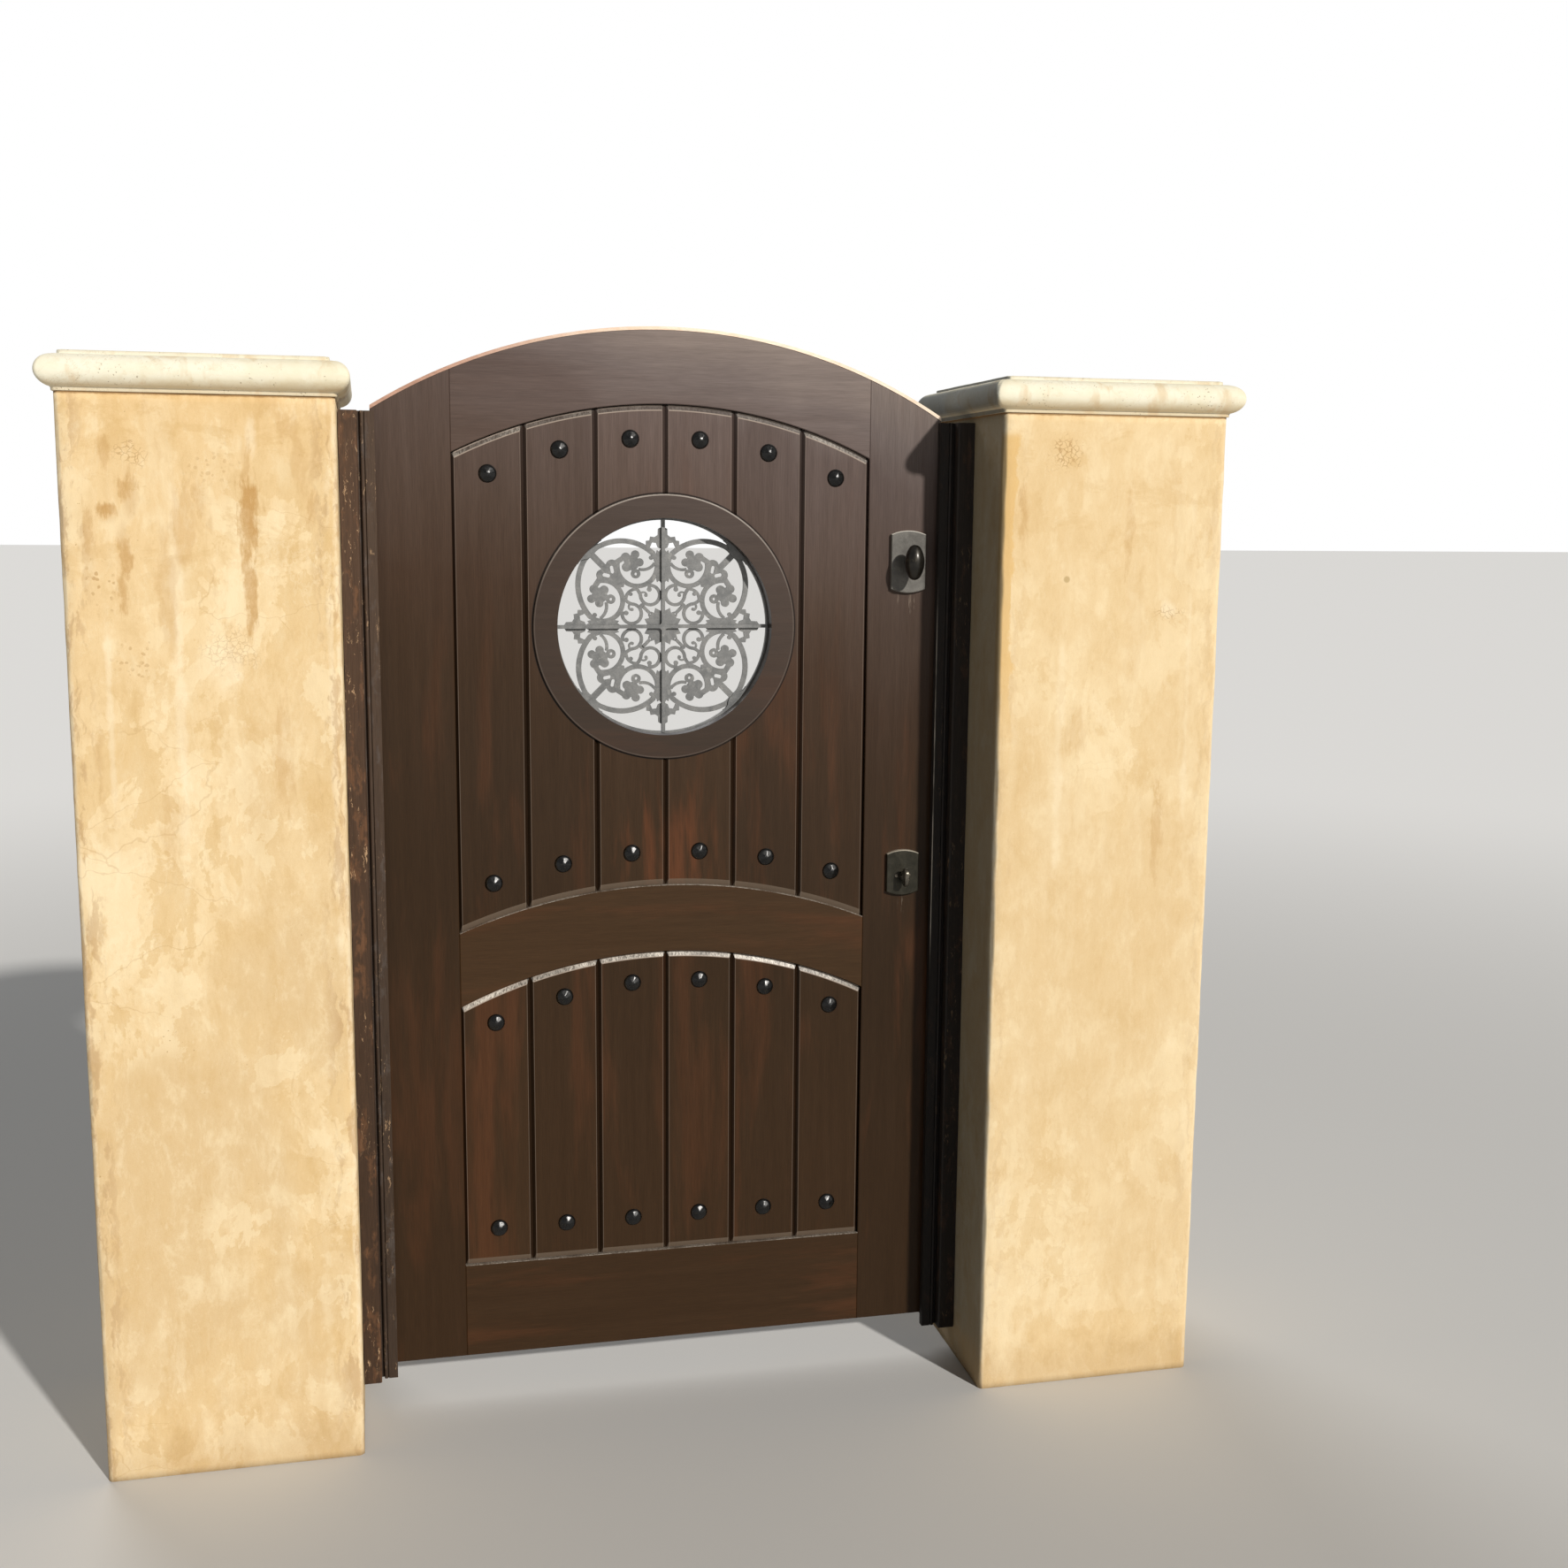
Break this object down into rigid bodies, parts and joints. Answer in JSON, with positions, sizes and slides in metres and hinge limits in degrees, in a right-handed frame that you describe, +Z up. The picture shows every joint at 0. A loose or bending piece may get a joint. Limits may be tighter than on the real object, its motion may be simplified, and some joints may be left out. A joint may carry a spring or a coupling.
{
  "type": "arched wooden garden gate between stucco piers",
  "caption": "Arched-top boarded timber garden gate with a round scrollwork window, copper edging, nail heads and knob, hung between capped stucco piers.",
  "frame": {"origin": "on the ground, midway between the piers and midway through their depth and the closed leaf's thickness", "axes": "+X across the opening towards the latch side, +Y away from the front face, the way the leaf opens, +Z up"},
  "size_m": [2.144, 0.5, 2.0709],
  "materials": {
    "stucco": "float-finished stucco, warm cream with tan mottling",
    "cast_stone": "smooth pale cast stone",
    "stained_wood": "dark walnut stain, satin",
    "jamb_wood": "dark walnut stain, lightly scratched",
    "copper": "copper sheet, satin, slightly dulled",
    "cast_grille": "dark grey cast metal, matt",
    "black_iron": "black, faintly hammered",
    "dark_bronze": "oil-rubbed dark bronze, satin",
    "hinge_metal": "dark bronze coloured"
  },
  "bodies": {
    "posts": {"left_pier": "stucco", "right_pier": "stucco", "left_pier_cap": "cast_stone", "right_pier_cap": "cast_stone", "left_jamb": "jamb_wood", "right_jamb": "jamb_wood", "left_stop": "jamb_wood", "right_stop": "jamb_wood", "strike_plates": "hinge_metal", "hinge_jamb_leaves": "hinge_metal", "hinge_pins": "hinge_metal"},
    "leaf": {"hinge_stile": "stained_wood", "latch_stile": "stained_wood", "top_rail": "stained_wood", "middle_rail": "stained_wood", "bottom_rail": "stained_wood", "upper_board_1": "stained_wood", "upper_board_2": "stained_wood", "upper_board_3": "stained_wood", "upper_board_4": "stained_wood", "upper_board_5": "stained_wood", "upper_board_6": "stained_wood", "lower_board_1": "stained_wood", "lower_board_2": "stained_wood", "lower_board_3": "stained_wood", "lower_board_4": "stained_wood", "lower_board_5": "stained_wood", "lower_board_6": "stained_wood", "window_ring": "stained_wood", "copper_strip": "copper", "window_grille": "cast_grille", "upper_clavos": "black_iron", "lower_clavos": "black_iron", "front_knob_plate": "dark_bronze", "back_knob_plate": "dark_bronze", "front_turn_plate": "dark_bronze", "back_turn_plate": "dark_bronze", "latch_face_plates": "hinge_metal", "latch_bolts": "hinge_metal", "hinge_gate_leaves": "hinge_metal"},
    "knob": {"knob": "dark_bronze"},
    "thumbturn": {"thumbturn": "dark_bronze"}
  },
  "joints": [
    {"name": "gate_hinge", "type": "hinge", "parent": "posts", "child": "leaf", "pos_m": [-0.54425, 0.029, 1], "axis": [0, 0, 1], "range_deg": [0, 95]},
    {"name": "knob_turn", "type": "hinge", "parent": "leaf", "child": "knob", "pos_m": [0.478, 0, 1.638], "axis": [0, 1, 0], "range_deg": [-50, 50], "stiffness_Nm_per_rad": 0.5},
    {"name": "thumb_turn", "type": "hinge", "parent": "leaf", "child": "thumbturn", "pos_m": [0.478, 0, 1.014], "axis": [0, 1, 0], "range_deg": [0, 90]}
  ]
}
